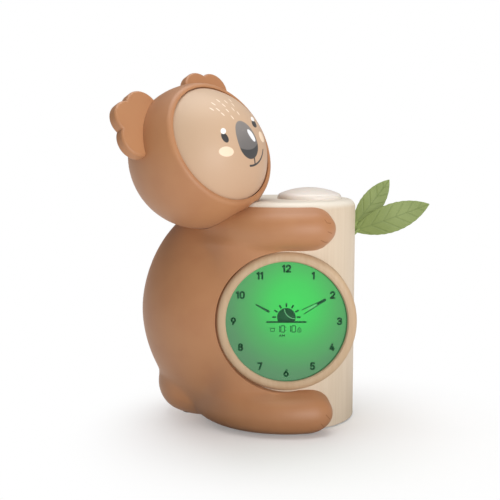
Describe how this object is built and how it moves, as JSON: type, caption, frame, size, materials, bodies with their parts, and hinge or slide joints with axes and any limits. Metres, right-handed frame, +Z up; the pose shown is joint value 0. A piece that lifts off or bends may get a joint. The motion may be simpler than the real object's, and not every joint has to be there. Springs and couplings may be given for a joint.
{
  "type": "kids alarm clock with night light",
  "caption": "Kids alarm clock with a round lit display in a trunk-shaped case, a hugging koala, a dome button on top and two leaves.",
  "frame": {"origin": "on the trunk's axis at table height, in the middle of the base pad", "axes": "+Z up, -Y out of the display, -X towards the koala"},
  "size_m": [0.1613, 0.0919, 0.1761],
  "materials": {
    "trunk_print": "pale wood-grain print, satin",
    "ring_print": "warmer wood-grain print, satin",
    "case_plastic": "matt moulded",
    "pad_rubber": "matt",
    "screw_steel": "plated",
    "spring_steel": "bright",
    "lens_clear": "clear",
    "display_face": "green-lit display",
    "diffuser_white": "translucent white",
    "board_green": "circuit board",
    "led_body": "clear resin",
    "chip_black": "matt",
    "dome_cream": "satin",
    "button_brown": "satin",
    "cell_wrap": "plain sleeve",
    "koala_vinyl": "soft matt vinyl",
    "face_print": "soft matt vinyl, printed face",
    "leaf_green": "soft matt vinyl"
  },
  "bodies": {
    "case": {"trunk_sleeve": "trunk_print", "base_plate": "case_plastic", "base_pad": "pad_rubber", "base_screws": "screw_steel", "bezel_ring": "ring_print", "display_lens": "lens_clear", "lcd_panel": "display_face", "light_diffuser": "diffuser_white", "display_frame": "case_plastic", "light_board": "board_green", "light_leds": "led_body", "main_board": "board_green", "main_chips": "chip_black", "board_screws": "screw_steel", "dome_spring": "spring_steel", "top_board": "board_green", "top_switch": "chip_black", "top_board_screws": "screw_steel", "rear_cover": "trunk_print", "cover_screws": "screw_steel", "rear_board": "board_green", "rear_board_screws": "screw_steel", "rear_switches": "chip_black", "usb_socket": "spring_steel", "slide_switch": "chip_black", "speaker": "chip_black", "speaker_magnet": "screw_steel", "battery_tray": "case_plastic", "battery_contacts": "spring_steel", "battery_cells": "cell_wrap", "koala_body": "koala_vinyl", "body_screws": "screw_steel", "rump_pad": "pad_rubber", "head_shell": "koala_vinyl", "neck_post": "case_plastic", "face_plate": "face_print", "ear_right": "koala_vinyl", "ear_left": "koala_vinyl", "leaf_upper": "leaf_green", "leaf_side": "leaf_green", "leaf_stem": "leaf_green"},
    "dome_button": {"dome_button": "dome_cream"},
    "set_button": {"set_button": "button_brown"},
    "plus_button": {"plus_button": "button_brown"},
    "minus_button": {"minus_button": "button_brown"},
    "alarm_button": {"alarm_button": "button_brown"},
    "switch_knob": {"switch_knob": "button_brown"},
    "battery_door": {"battery_door": "trunk_print", "door_screw": "screw_steel"}
  },
  "joints": [
    {"name": "dome_press", "type": "slide", "parent": "case", "child": "dome_button", "axis": [0, 0, -1], "range_m": [0, 0.0016], "stiffness_N_per_m": 500, "springref_m": -0.0012, "deforming": ["dome_spring"]},
    {"name": "set_press", "type": "slide", "parent": "case", "child": "set_button", "axis": [0, -1, 0], "range_m": [0, 0.0007], "stiffness_N_per_m": 400, "springref_m": -0.0006},
    {"name": "plus_press", "type": "slide", "parent": "case", "child": "plus_button", "axis": [0, -1, 0], "range_m": [0, 0.0007], "stiffness_N_per_m": 400, "springref_m": -0.0006},
    {"name": "minus_press", "type": "slide", "parent": "case", "child": "minus_button", "axis": [0, -1, 0], "range_m": [0, 0.0007], "stiffness_N_per_m": 400, "springref_m": -0.0006},
    {"name": "alarm_press", "type": "slide", "parent": "case", "child": "alarm_button", "axis": [0, -1, 0], "range_m": [0, 0.0007], "stiffness_N_per_m": 400, "springref_m": -0.0006},
    {"name": "switch_slide", "type": "slide", "parent": "case", "child": "switch_knob", "axis": [1, 0, 0], "range_m": [0, 0.003]},
    {"name": "door_lift", "type": "slide", "parent": "case", "child": "battery_door", "axis": [0, 1, 0], "range_m": [0, 0.03]}
  ]
}
